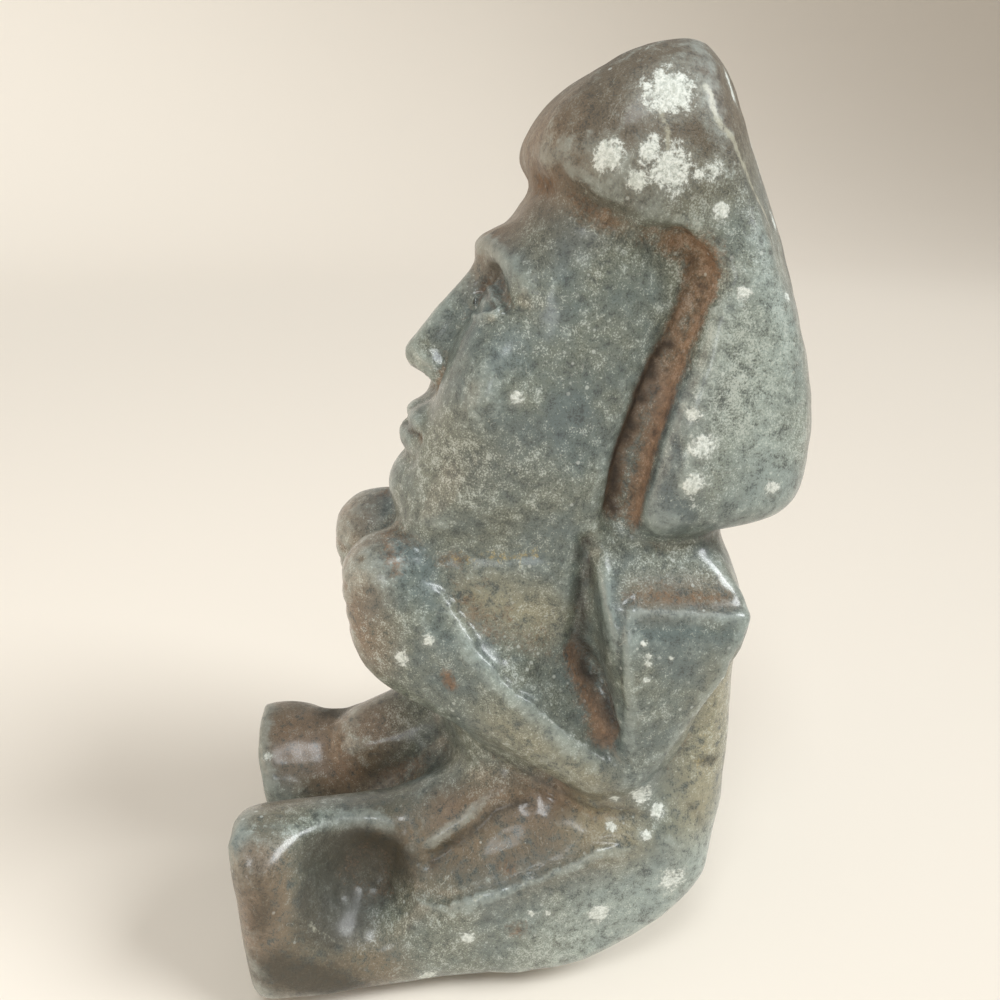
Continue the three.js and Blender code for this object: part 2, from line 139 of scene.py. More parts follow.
class Finish:
    """A material of shader nodes, built up one node a call."""

    def __init__(self, name):
        self.material = bpy.data.materials.new(name)
        self.material.use_nodes = True
        self.tree = self.material.node_tree
        self.tree.nodes.clear()

    def node(self, kind, settings, *values, out=0, **named):
        node = self.tree.nodes.new("ShaderNode" + kind)
        for name, value in settings.items():
            setattr(node, name, value)
        for socket, value in zip(node.inputs, values):
            self.feed(socket, value)
        for name, value in named.items():
            self.feed(node.inputs[name.replace("_", " ")], value)
        return Value(self, node.outputs[out]) if node.outputs else node

    def feed(self, socket, value):
        if isinstance(value, Value):
            self.tree.links.new(value.socket, socket)
        elif value is not None:
            socket.default_value = value

    def noise(self, place, scale, detail=4.0, rough=0.55, twist=0.0):
        """Cloudy variation from about nought to one, scale in waves per metre."""
        named = {"Scale": scale, "Detail": detail, "Roughness": rough, "Distortion": twist}
        return self.node("TexNoise", {}, Vector=place, **named)

    def cells(self, place, scale):
        """Distance to scattered points, scale in points per metre."""
        return self.node("TexVoronoi", {}, Vector=place, Scale=scale)

    def mask(self, name):
        """What was painted on the piece under a name, from nought to one."""
        return self.node("Attribute", {"attribute_name": name}, out=2)

    def blend(self, share, under, over):
        """The colour over laid on the colour under by a share."""
        node = self.tree.nodes.new("ShaderNodeMix")
        node.data_type = "RGBA"
        for name, value in (("Factor", share), ("A", under), ("B", over)):
            sockets = [s for s in node.inputs if s.name == name and s.type in ("RGBA", "VALUE")]
            kind = "VALUE" if name == "Factor" else "RGBA"
            self.feed(next(s for s in sockets if s.type == kind), value)
        return Value(self, next(s for s in node.outputs if s.type == "RGBA"))


def colour(red, green, blue):
    """A colour as it is seen, from 0 to 255, as the light it throws back."""

    def linear(v):
        v /= 255
        return v / 12.92 if v <= 0.04045 else ((v + 0.055) / 1.055) ** 2.4

    return (linear(red), linear(green), linear(blue), 1.0)


class Carving:
    """The fine stone, worked as a carver would: strokes that sink, raise or smooth it."""

    def __init__(self, piece):
        mesh = piece.data
        count = len(mesh.vertices)
        flat = np.empty(count * 3)
        mesh.vertices.foreach_get("co", flat)
        self.places = flat.reshape(-1, 3) / PART
        edges = np.empty(len(mesh.edges) * 2, int)
        mesh.edges.foreach_get("vertices", edges)
        self.edges = edges.reshape(-1, 2)
        self.beside = np.bincount(self.edges.ravel(), minlength=count)
        self.mesh = mesh
        self.paints = {}
        self.turn()

    def turn(self):
        """Takes the way the surface faces again, after a change."""
        self.mesh.vertices.foreach_set("co", (self.places * PART).ravel())
        self.mesh.update()
        flat = np.empty(len(self.places) * 3)
        self.mesh.vertex_normals.foreach_get("vector", flat)
        self.facing = flat.reshape(-1, 3)

    def middle_of(self, values):
        """The mean of the values beside each point."""
        a, b = self.edges.T
        total = np.zeros_like(values)
        for column in range(values.shape[1]):
            total[:, column] = np.bincount(a, values[b, column], len(values))
            total[:, column] += np.bincount(b, values[a, column], len(values))
        return total / self.beside[:, None]

    def reach(self, chain, width):
        """The points within a width of a chain, with the way each lies off it."""
        chain = np.array(chain, float).reshape(-1, 3)
        past_start = self.places > chain.min(axis=0) - width
        before_end = self.places < chain.max(axis=0) + width
        which = np.flatnonzero((past_start & before_end).all(axis=1))
        places = self.places[which]
        offset = np.full((len(which), 3), np.inf)
        nearest = np.full(len(which), np.inf)
        starts, ends = (chain[:-1], chain[1:]) if len(chain) > 1 else (chain, chain)
        for start, end in zip(starts, ends):
            along = end - start
            length = along @ along
            off = places - start
            if length:
                off = off - np.clip(off @ along / length, 0, 1)[:, None] * along
            gap = np.linalg.norm(off, axis=1)
            nearer = gap < nearest
            nearest[nearer] = gap[nearer]
            offset[nearer] = off[nearer]
        return which, offset, np.clip(1 - nearest / width, 0, 1)

    def near(self, chain, width):
        """How near each point is to a chain of places: one on it, nought at its width."""
        which, _, share = self.reach(chain, width)
        result = np.zeros(len(self.places))
        result[which] = share
        return result

    def laid(self, chain):
        """A chain laid on the stone: close steps along it, each at its nearest point."""
        steps = []
        for start, end in zip(chain, chain[1:]):
            start, end = np.array(start, float), np.array(end, float)
            count = max(int(np.linalg.norm(end - start) / 0.6), 1)
            steps += [start + (end - start) * n / count for n in range(count)]
        steps.append(np.array(chain[-1], float))
        return [self.places[((self.places - p) ** 2).sum(axis=1).argmin()] for p in steps]

    def sink(self, chain, width, depth, sharp=False, both=False, laid=True):
        """A groove along a chain, or a ridge where the depth is below nought."""
        for line in sided(chain, both):
            near = self.near(self.laid(line) if laid else line, width)
            profile = near**1.5 if sharp else near * near * (3 - 2 * near)
            self.places -= self.facing * (profile * depth)[:, None]
        self.turn()

    def shelve(self, chain, way, width, depth, both=False):
        """Cuts the surface down beside a chain, on the side a way points to, and so
        leaves a crisp edge along it."""
        for line in sided(chain, both):
            mirrored = line[0][0] != chain[0][0]
            side = np.array([-way[0], way[1], way[2]] if mirrored else way, float)
            which, offset, share = self.reach(self.laid(line), width)
            beyond = np.clip(offset @ (side / np.linalg.norm(side)) / 0.8, 0, 1)
            cut = beyond * beyond * (3 - 2 * beyond) * share * depth
            self.places[which] -= self.facing[which] * cut[:, None]
            self.turn()

    def smooth(self, chain, width, rounds, both=False):
        """Rubs the surface down along a chain."""
        share = sum(self.near(line, width) for line in sided(chain, both))
        share = np.clip(share * 2, 0, 1)[:, None]
        for _ in range(rounds):
            self.places += (self.middle_of(self.places) - self.places) * share * 0.6
        self.turn()

    def polish(self, rounds):
        """Rubs the whole figure down, without shrinking it."""
        for _ in range(rounds):
            for strength in (0.6, -0.62):
                self.places += (self.middle_of(self.places) - self.places) * strength
        self.turn()

    def stand(self, box):
        """Keeps the figure in a box, with all that was under it still flat on the floor."""
        lowest, highest = box
        self.places = np.clip(self.places, lowest, highest)
        under = (self.places[:, 2] < 0.35) & (self.facing[:, 2] < -0.8)
        self.places[under, 2] = 0
        self.turn()

    def hollows(self, rounds):
        """How hollow each point is, against the surface smoothed by some rounds."""
        smooth = self.places.copy()
        for _ in range(rounds):
            smooth += (self.middle_of(smooth) - smooth) * 0.7
        return ((smooth - self.places) * self.facing).sum(axis=1)

    def paint(self, name, chain, width, strength=1.0, both=False):
        """Brushes a colour's mask on along a chain."""
        mask = self.paints.setdefault(name, np.zeros(len(self.places)))
        for line in sided(chain, both):
            np.maximum(mask, self.near(self.laid(line), width) * strength, out=mask)

    def keep(self, name, values):
        self.paints[name] = values

    def store(self):
        """Writes the carved places and the painted masks to the piece."""
        self.turn()
        for name, values in self.paints.items():
            layer = self.mesh.attributes.new(name, "FLOAT", "POINT")
            layer.data.foreach_set("value", np.clip(values, 0, 1).astype(np.float32))


def sided(chain, both):
    """A chain, and its mirror image where both sides are meant."""
    if not isinstance(chain[0], (list, tuple)):
        chain = [chain]
    return [chain, [(-x, y, z) for x, y, z in chain]] if both else [chain]


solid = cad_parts["stone_warrior"]
choose(solid)
bpy.ops.object.duplicate()
stone = bpy.context.object
stone.name = "carved_stone"
stone.data.name = "carved_stone"
for key in list(stone.keys()):
    del stone[key]
bpy.ops.object.mode_set(mode="EDIT")
bpy.ops.mesh.select_all(action="SELECT")
bpy.ops.mesh.remove_doubles(threshold=0.00001)
bpy.ops.mesh.tris_convert_to_quads(
    face_threshold=math.radians(30), shape_threshold=math.radians(50)
)
bpy.ops.object.mode_set(mode="OBJECT")
finish_with(stone, "SUBSURF", levels=2, render_levels=2)
finish_with(stone, "REMESH", mode="VOXEL", voxel_size=GRAIN)

# A hand-worked surface is never quite even.
uneven = bpy.data.textures.new("uneven", "CLOUDS")
uneven.noise_scale = 0.014
uneven.noise_depth = 2
finish_with(
    stone, "DISPLACE", texture=uneven, texture_coords="OBJECT", strength=0.001, mid_level=0.5
)

carving = Carving(stone)
carving.polish(8)

# The face is laid out in shares of brow to chin, from the middle of the brow, on an
# upright that leans back. It is calm and level, with closed lips.
FACE = 30
BROW = np.array([0, -0.5, 82])
LEAN = math.radians(23)


def on_face(*chain):
    """Places on the figure of places on the face."""
    placed = []
    for x, y, z in chain:
        forward = y * math.cos(LEAN) + z * math.sin(LEAN)
        upward = z * math.cos(LEAN) - y * math.sin(LEAN)
        placed.append(tuple(BROW + np.array([x, forward, upward]) * FACE))
    return placed


LID_FOLD = on_face(
    (0.07, 0, -0.14), (0.11, -0.02, -0.095), (0.17, -0.02, -0.078), (0.24, 0, -0.095),
    (0.29, 0.06, -0.14),
)
UPPER_LID = on_face(
    (0.08, 0, -0.175), (0.12, -0.02, -0.13), (0.17, -0.03, -0.112), (0.23, 0, -0.13),
    (0.27, 0.05, -0.17),
)
LOWER_LID = on_face(
    (0.08, 0, -0.175), (0.13, -0.02, -0.2), (0.18, -0.02, -0.208), (0.24, 0.02, -0.195),
    (0.27, 0.05, -0.17),
)
UNDER_LID = on_face(
    (0.09, 0, -0.17), (0.13, -0.03, -0.148), (0.18, -0.035, -0.136), (0.23, -0.01, -0.148),
    (0.265, 0.04, -0.172),
)
OVER_LID = on_face(
    (0.1, 0, -0.178), (0.14, -0.03, -0.19), (0.18, -0.03, -0.194), (0.23, 0, -0.187),
    (0.26, 0.04, -0.176),
)
LIP_LINE = on_face(
    (0, -0.09, -0.672), (0.05, -0.08, -0.67), (0.1, -0.05, -0.675), (0.15, 0, -0.672)
)
NOSTRIL = on_face((0.035, -0.11, -0.478), (0.06, -0.07, -0.482))
WING_FOLD = on_face((0.1, -0.02, -0.4), (0.125, 0, -0.44), (0.11, 0, -0.485))
LIP_GROOVE = on_face((0, -0.06, -0.53), (0, -0.07, -0.6))
CHIN_FOLD = on_face((0, -0.04, -0.77), (0.07, -0.02, -0.765), (0.12, 0.03, -0.745))
BROW_LINE = on_face(
    (0.03, -0.03, -0.01), (0.12, -0.03, 0.0), (0.21, 0.02, -0.01), (0.3, 0.1, -0.06)
)

carving.sink(LID_FOLD, 1, 0.65, both=True)
carving.sink(UPPER_LID, 1, -0.62, both=True)
carving.sink(LOWER_LID, 0.9, -0.5, both=True)
carving.sink(UNDER_LID, 0.8, 0.55, both=True)
carving.sink(OVER_LID, 0.7, 0.45, both=True)
carving.sink(BROW_LINE, 1.8, -0.45, both=True)
carving.sink(WING_FOLD, 0.9, 0.35, both=True)
carving.sink(NOSTRIL, 0.75, 0.45, both=True)
carving.sink(LIP_GROOVE, 0.9, 0.2)
carving.sink(LIP_LINE, 0.8, 0.55, sharp=True, both=True)
carving.sink(CHIN_FOLD, 1.4, 0.3, both=True)

# The brim of the hood rolls into the side flap. A deep groove parts the flap from the
# cheek, with a slanted face on the flap's side of it and a round crest beyond.
BRIM_CREASE = [
    (3, 3, 88), (8.5, 4.2, 88.1), (10.2, 6.7, 85.9), (11.5, 9.2, 84.6), (11.6, 11.9, 83.9),
    (12.1, 14.3, 83.3),
]
FLAP_GROOVE = [
    (12.1, 14.3, 83.3),
    (12, 16.4, 81.4),
    (11.4, 15.8, 77.5),
    (11.3, 14.4, 74),
    (11.3, 12.8, 70.7),
    (11.2, 11.5, 66.7),
    (11.3, 10.2, 62.2),
    (11, 9.9, 57.6),
]
SLANT = [
    (12.4, 15.6, 82.6), (12.8, 17.4, 80.6), (12.5, 17, 78), (12.3, 15.8, 74.6), (12.3, 14.4, 70),
    (12.6, 13, 65), (12.7, 11.8, 60.4), (12.8, 11.6, 57.4),
]
FLAP_CREST = [(14.2, 18.1, 76.9), (15, 17.6, 72.2), (15.4, 16.6, 67.3), (15.9, 15.9, 62.1)]
carving.sink(BRIM_CREASE, 2.4, 0.4, both=True)
carving.sink(SLANT, 2.4, 0.35, both=True)
carving.sink(FLAP_GROOVE, 1.5, 0.95, sharp=True, both=True)
carving.sink(FLAP_CREST, 2.8, -0.4, both=True)

# The fold under the jaw.
JAW_FOLD = [(6, -10, 51), (10, -6.4, 52.2), (10.7, -0.7, 52.6), (11.5, 2.5, 53)]
carving.sink(JAW_FOLD, 1.6, 0.3, both=True)

# The forearm has a crisp crest, a hollow beyond it and a low ridge before the chest.
CREST = [
    (10.8, -7.8, 48.9),
    (11.7, -6.4, 46.6),
    (13.5, -4.5, 43.1),
    (14.6, -2.1, 39.9),
    (15.4, 0.5, 37.6),
    (16.1, 3.1, 35.3),
    (16.8, 5.7, 33),
    (17.5, 8.4, 30.9),
]
HOLLOW = [(11.5, -7, 48.6), (12.2, -4.6, 46.4), (13, -2, 44), (14, 1.2, 40.8), (14.4, 4.4, 38)]
CHEST_RIDGE = [
    (9.7, -6.1, 51.7), (11.2, -2.1, 47.5), (11.8, -0.1, 45.3), (12.3, 2.6, 42.5), (12.6, 4.8, 40.6)
]
carving.sink(CREST, 2.4, -0.4, both=True)
carving.shelve(CREST, (-0.5, 0.4, 0.8), 3.4, 0.55, both=True)
carving.sink(HOLLOW, 2, 0.25, both=True)
carving.sink(CHEST_RIDGE, 1.6, -0.25, both=True)

# The upper arm is squared off at the shoulder, with a deep cleft before it, and its rear
# and lower edges stand proud of the back and the hip.
CLEFT = [
    (12.6, 7.1, 54.2),
    (13.1, 6.9, 50.8),
    (12.8, 6.6, 46.2),
    (12.6, 6.6, 42),
    (13.2, 8.3, 39),
    (14.6, 9.6, 37),
    (16.2, 9.9, 34.6),
]
SHOULDER_EDGE = [(17.4, 10.7, 49.1), (17.6, 13.7, 48.8), (18, 17.5, 48.4), (18.2, 22.2, 47.9)]
ARM_FRONT = [(17.4, 10.7, 49.1), (19.1, 9.9, 45.5), (18.9, 10.3, 39.5)]
ARM_REAR = [
    (19.2, 21.4, 45.1), (19.1, 20.4, 41.1), (18.9, 18.7, 37.8), (17.6, 17.9, 33.6),
    (17.9, 16.4, 30.6), (18.1, 14.9, 27.8),
]
ELBOW_EDGE = [
    (18.4, 12.1, 24.5), (17.3, 8.2, 24.2), (14.4, 5.1, 23.7), (13, 2.5, 24.6), (12.1, -0.5, 26.7),
    (10.5, -4.4, 29),
]
carving.sink(CLEFT, 1.7, 1.1, sharp=True, both=True)
carving.sink(SHOULDER_EDGE, 1.8, -0.3, both=True)
carving.shelve(SHOULDER_EDGE, (-0.3, 0, 1), 2.6, 0.35, both=True)
carving.shelve(ARM_FRONT, (-0.5, -1, 0), 3.6, 0.6, both=True)
carving.shelve(ARM_REAR, (-0.2, 1, -0.4), 3.6, 0.8, both=True)
carving.shelve(ELBOW_EDGE, (0, -0.2, -1), 3.2, 0.9, both=True)

# Closed fingers, worn nearly away.
for level in (43.6, 46, 48.4):
    carving.sink(
        [(1.6, -18.4, level), (5, -18.6, level + 0.3), (8.4, -17.4, level + 0.6)],
        1,
        0.17,
        both=True,
    )

# Along each leg: a dark groove down the thigh, the shin's edge, the outer ledge, and the
# broad scoop in the side of the foot.
THIGH_GROOVE = [
    (14.2, 0.9, 22.8), (14, -2.5, 21.6), (14.6, -5.5, 19.1), (14.7, -8.4, 17.1), (14.8, -10, 15.9)
]
SHIN_EDGE = [
    (11.4, -7.9, 21.3), (12.9, -11.2, 18.7), (13.4, -13, 16.4), (13.2, -14.2, 13.1),
    (13.9, -14.4, 11.9),
]
LEDGE = [
    (19.9, 8.5, 20.5), (20.1, 5.5, 18.9), (20, 1.6, 17.2), (19.8, -2.8, 15.8), (19.7, -5.6, 15),
    (19.8, -7.8, 14.3), (19.6, -9.4, 13.9),
]
SCOOP_RIM = [(19, -27, 20), (19, -26, 14), (19.4, -22, 10.4), (19.4, -17, 9.4), (19.4, -12.6, 12)]
THIGH_RIPPLE = [(12.4, -3, 22.4), (13, -6.4, 20), (13.4, -9.6, 17.6)]
carving.sink([(17.4, -18.4, 13.6)], 5.4, -0.6, both=True)
carving.smooth(SCOOP_RIM, 6.5, 120, both=True)
carving.sink(THIGH_GROOVE, 2.2, 0.6, both=True)
carving.sink(THIGH_RIPPLE, 1.8, -0.3, both=True)
carving.shelve(SHIN_EDGE, (0.3, -1, 0), 3, 0.5, both=True)
carving.shelve(LEDGE, (-0.3, 0, 1), 4.4, 0.95, both=True)
carving.smooth([(18, -29.8, 20.6), (18.2, -29.4, 17)], 4, 60, both=True)

# Small knocks and chips all over.
KNOCKS = 120
chance = np.random.default_rng(7)
for spot in chance.choice(len(carving.places), KNOCKS, replace=False):
    carving.sink(
        [carving.places[spot]], chance.uniform(0.4, 1.3), chance.uniform(0.04, 0.2), laid=False
    )
carving.polish(2)
carving.stand(np.array(cad_box) / PART)

# Hollows gather soil and edges are rubbed pale.
fine_hollow = carving.hollows(5)
broad_hollow = carving.hollows(60)
carving.keep("hollow", np.clip(fine_hollow / 0.1, 0, 1) * 0.4 + np.clip(broad_hollow / 0.8, 0, 1))
carving.keep(
    "worn", np.clip(-fine_hollow / 0.06, 0, 1) * 0.5 + np.clip(-broad_hollow / 0.8, 0, 1) * 0.6
)

# White chalky blotches and lone dots: their middles and how far they reach.
for place, reach in (
    ((12, 12.3, 94.9), 4.6),
    ((6.1, 20.1, 96.1), 2.8),
    ((12.2, 7.2, 89.8), 2.8),
    ((12.4, 7.9, 90.6), 1.6),
    ((13.2, 10.9, 90.5), 2.6),
    ((13.4, 12.4, 88.9), 3.8),
    ((13.1, 9.7, 88.3), 2),
    ((13.4, 16.6, 89.3), 1.8),
    ((13.4, 15, 88.7), 1.2),
    ((7.2, 25.3, 84.6), 2),
    ((13.4, 17.4, 85.8), 1.6),
    ((14.6, 19.9, 79), 1.3),
    ((15.1, 15.7, 68.1), 1.8),
    ((15.6, 16.7, 65.5), 2.6),
    ((15.9, 16.5, 61.6), 2.4),
    ((15.9, 24.4, 60.4), 1.8),
    ((12.9, 24.7, 78.3), 1.4),
    ((12.2, -0.1, 69.4), 1.4),
    ((18.3, 13.1, 26.6), 2.4),
    ((18.1, 10.1, 26), 1.2),
    ((18.8, 14.9, 23.9), 1.8),
    ((18.8, 9.8, 22.7), 1.2),
    ((20, 13.3, 21.7), 1.4),
    ((20.5, 16.8, 15.3), 3.2),
    ((20.8, 8.2, 11.6), 2.6),
    ((20.4, 0.8, 12.8), 0.9),
    ((20.6, 2.4, 12.8), 1),
    ((20, -6.2, 9.6), 1.8),
    ((19.8, -11.1, 4.1), 2.2),
    ((19.1, 11.8, 46.1), 0.9),
    ((19.3, 11.9, 45), 0.7),
    ((19.3, 12, 43.9), 0.9),
    ((19.3, 12.1, 41.9), 0.9),
    ((19.3, 14.4, 44.4), 0.6),
    ((12.9, -9.1, 44.5), 1.3),
    ((12.1, -12.1, 42.1), 1.7),
):
    carving.paint("chalk_and_sheen", [place], reach)
carving.paint("chalk_and_sheen", [(4.4, 25.6, 92), (4.6, 26.6, 88.6)], 1.2, 0.8)
# Painted highlights: a pale sheen along the shoulder's edge and the forearm's crest; the arm's
# rear edge gets a real chalk streak.
carving.paint("chalk_and_sheen", SHOULDER_EDGE[1:3], 1.6, 0.4)
carving.paint("chalk_and_sheen", ARM_REAR[1:4], 0.8, 0.62)
carving.paint("chalk_and_sheen", CREST[1:], 2, 0.42)
for count in range(16):
    spot = chance.choice(np.flatnonzero(carving.places[:, 0] < 0))
    carving.paint("chalk_and_sheen", [carving.places[spot]], chance.uniform(0.8, 3))

# Pale veins down the hood.
carving.paint("vein", [(12.5, 11.7, 93.6), (13.3, 12.2, 90.7), (13.4, 12.3, 89.3)], 0.7)
carving.paint(
    "vein",
    [
        (12, 15.5, 95.4), (12.9, 16.3, 92.8), (12.4, 18.1, 91.2), (11.8, 20.3, 88.3),
        (10.9, 22.2, 86.1), (9.8, 23.8, 84.4),
    ],
    0.8,
)
carving.paint("vein", [(-12, 8, 95), (-13, 13, 90), (-12.6, 19, 86)], 0.7)
carving.paint("vein", LEDGE, 0.9, 0.55)
carving.paint("vein", [(18, -24.7, 14.1), (18.4, -22.8, 11.1), (18.4, -21.1, 9.5)], 0.8, 0.55)

# Red-brown soil packed in the folds.
carving.paint("soil", BRIM_CREASE, 2.6, 0.3, both=True)
carving.paint("soil", FLAP_GROOVE, 1.8, 0.8, both=True)
carving.paint("soil", SLANT, 2.3, 0.95, both=True)
carving.paint(
    "soil", [(11.9, 14.4, 83), (12.1, 16.2, 81.8), (12.8, 17.5, 80.3)], 2, 0.9, both=True
)
carving.paint("soil", [(12.9, 6.2, 41.5), (16.2, 9, 33.2)], 2.4, 0.9, both=True)
carving.paint("soil", [(16.6, 11.8, 50.4), (17, 16, 50.2), (17, 20.5, 49.8)], 3, 0.55, both=True)
carving.paint("soil", CHEST_RIDGE, 2, 0.5, both=True)
carving.paint("soil", [(11, -4, 48), (12.4, 2, 42.6)], 3.4, 0.4, both=True)
carving.paint("soil", [(13.7, -7.2, 39.4), (13.6, -7.5, 40.6)], 1.4, 0.85)
carving.paint("soil", [(6.5, -24, 21.2), (2, -22, 14), (0, -12, 16)], 4, 0.45, both=True)
carving.paint("soil", [(5.6, -13.3, 53.5), (9.7, -12, 51)], 2.4, 0.7, both=True)
carving.paint("soil", [(20.3, -0.9, 10.2)], 2.4, 0.7)
carving.paint("soil", [(18.5, -1.8, 17.5)], 1.8, 0.6)
carving.paint("soil", LID_FOLD, 2.2, 0.4, both=True)
carving.paint(
    "soil",
    on_face((0.12, -0.02, -0.44), (0.1, 0, -0.5), (0.04, -0.05, -0.52)),
    2.4,
    0.4,
    both=True,
)
carving.paint("soil", LIP_LINE, 1.8, 0.4, both=True)

# Yellow crust along the jaw and down the back.
carving.paint("crust", JAW_FOLD[1:], 2.6, 0.56)
carving.paint("crust", [(-10, -6, 52.2), (-11, 1, 53)], 2, 0.7)
carving.paint("crust", [(17.5, 19.5, 32.2), (18, 20, 28)], 3, 0.55, both=True)

# Dark stains down the back; painted shade, dark olive, in the scoop, on the toe and along the
# lower side of each foot, and down the thigh's groove.
# Dark olive in and around the scoop of each foot: partly a stain, partly painted shade.
carving.paint("stain_and_shade", [(12.2, -19, 12.8), (14.9, -21.8, 12)], 8.5, 1.5, both=True)
carving.paint("stain_and_shade", [(13.2, -22.6, 17.9), (13, -14, 15)], 6, 1.1, both=True)
carving.paint("stain_and_shade", [(17.8, 19.7, 29.4), (16.8, 21.8, 28.6)], 1.8, 0.8)
carving.paint("stain_and_shade", [(18.5, 18.8, 24), (18.4, 21, 20)], 2.2, 0.6)
# Painted shade down the thigh's groove.
carving.paint("stain_and_shade", THIGH_GROOVE, 1.8, 0.8, both=True)
# Painted shade on the lower side and the toe of each foot.
carving.paint("stain_and_shade", [(18.8, -27, 8), (18.8, -21, 4)], 7, 1, both=True)
carving.paint("stain_and_shade", [(18.6, -28, 22), (18.8, -28.5, 14)], 6, 0.7, both=True)

# Painted shade: near-black in the bottom of the deepest cuts, the jaw fold, the elbow's edge and
# the lines of the eyes, lips and nostrils.
carving.paint("painted_crease_shade", FLAP_GROOVE[3:], 1.5, 1, both=True)
carving.paint("painted_crease_shade", CLEFT, 2, 0.9, both=True)
carving.paint("painted_crease_shade", ELBOW_EDGE, 1.1, 0.7, both=True)
carving.paint("painted_crease_shade", JAW_FOLD, 1, 0.5, both=True)
carving.paint("painted_crease_shade", UNDER_LID, 0.8, 0.8, both=True)
carving.paint("painted_crease_shade", LID_FOLD, 0.8, 0.6, both=True)
carving.paint("painted_crease_shade", LIP_LINE, 0.8, 0.7, both=True)
carving.paint("painted_crease_shade", NOSTRIL, 0.9, 0.9, both=True)

# The hood is warm grey, the legs and feet olive-brown, darker on the feet as painted shade, the
# back straw, and the rest of the flaps and the seat pale. The hands, feet, thighs and the hood's
# front are tan, partly a painted warm reflection; the jaw and the flaps' front edges are slate,
# partly painted shade.
x, y, z = carving.places.T
carving.keep("warm", np.clip((z - 82 - (y - 10) * 0.3) / 8, 0, 1))
carving.paint("olive_and_shade", [(16, 8, 21), (14, -8, 17), (12, -16, 17)], 8, 1.2, both=True)
carving.paint("straw", [(16, 22, 40), (16, 21, 32), (18, 20, 22)], 7, 1.1, both=True)
carving.paint("straw", [(16, 8, 22), (19, 12, 21)], 5, 0.7, both=True)
carving.paint("straw", [(11, -4, 48), (12, 2, 46)], 5, 0.9, both=True)
carving.paint("straw", [(15.5, -2, 35), (17, 3, 31.5), (17.6, 7, 29)], 4.5, 0.7, both=True)
# Dark blue-grey on the flaps' lower front and the jaw's side: partly the stone's tone, partly
# painted shade.
carving.paint("slate_and_shade", [(14.4, 14.6, 70), (14.8, 14, 64), (14.8, 13.6, 59)], 5, 1, both=True)
carving.paint("slate_and_shade", [(11.8, -4, 62), (12.4, 6, 66)], 6, 0.5, both=True)
carving.paint("olive_and_shade", [(17, 12, 50.4), (17.4, 20, 50)], 3.4, 1, both=True)
# Painted shade: darker olive-brown on the fronts and outer sides of the feet.
carving.paint(
    "olive_and_shade", [(4, -28, 20), (10, -30, 20), (17, -30, 12), (18, -28, 5)], 7, 1.1, both=True
)
carving.paint(
    "olive_and_shade",
    [(18.6, -28, 22), (18.8, -28.5, 14), (18.8, -26, 6), (18.8, -18, 5)],
    7,
    1.5,
    both=True,
)
# Tan on the hands, the feet, the hood's front and the thighs: partly the stone's tone, partly a
# painted warm reflection.
carving.paint("tan_and_reflection", [(4, -20, 52), (8, -19, 49), (9, -18, 43)], 7, 1.4, both=True)
carving.paint("tan_and_reflection", [(-8, -20, 12), (-6, -18, 18), (-8, -27, 20)], 8, 1.5)
carving.paint("tan_and_reflection", [(18.8, -29, 21), (18.6, -30, 12)], 4.5, 1, both=True)
carving.paint("tan_and_reflection", [(4, -8, 96), (0, -9, 92), (6, -4, 92)], 7, 0.9, both=True)
carving.paint("tan_and_reflection", [(14, 4, 23), (13, -2, 23), (12, -8, 21)], 4, 0.9, both=True)
carving.keep("pale", np.clip((16 - z + y * 0.35) / 6, 0, 1) * np.clip((y + 5) / 12, 0, 1) * 0.9)
carving.paint("pale", [(14, 24, 78), (15, 22, 68), (15, 24, 62)], 8, 1, both=True)
carving.store()

finish = Finish("carved_stone")
place = finish.node("TexCoord", {}, out=3)
cloud = finish.noise(place, 38, 4, 0.6)
mottle = finish.noise(place, 130, 7, 0.68, 0.4)
patches = finish.noise(place, 330, 6, 0.7)
grit = finish.noise(place, 1100, 4, 0.7)
grain = finish.noise(place, 2400, 3, 0.6)
hollow = finish.mask("hollow")
worn = finish.mask("worn")
stain_and_shade = finish.mask("stain_and_shade")

# The bare stone: blue-grey clouded with green-grey, mottled dark and light.
streaks = patches * 0.6 + mottle * 0.4
tint = finish.blend(cloud.above(0.36, 0.64), colour(90, 103, 101), colour(110, 115, 101))
tint = finish.blend(streaks.above(0.5, 0.68) * 0.5, tint, colour(140, 152, 147))
tint = finish.blend((1 - streaks.above(0.36, 0.5)) * 0.55, tint, colour(66, 77, 76))
tint = finish.blend(finish.mask("warm") * 0.9, tint, colour(90, 78, 61))
# Olive-brown on the legs and the shoulders' tops, and as painted shade on the feet.
tint = finish.blend(
    finish.mask("olive_and_shade") * patches.above(0.25, 0.55) * 0.85, tint, colour(104, 88, 65)
)
tint = finish.blend(
    finish.mask("straw") * patches.above(0.25, 0.55) * 0.8, tint, colour(150, 143, 114)
)
# Tan, partly a painted warm reflection.
tint = finish.blend(finish.mask("tan_and_reflection") * patches.above(0.2, 0.5) * 0.8, tint, colour(128, 104, 79))
tint = finish.blend(
    finish.mask("pale") * patches.above(0.2, 0.55) * 0.6, tint, colour(166, 180, 174)
)
# Dark blue-grey, partly painted shade.
tint = finish.blend(finish.mask("slate_and_shade") * (1.2 - patches) * 0.7, tint, colour(76, 90, 98))

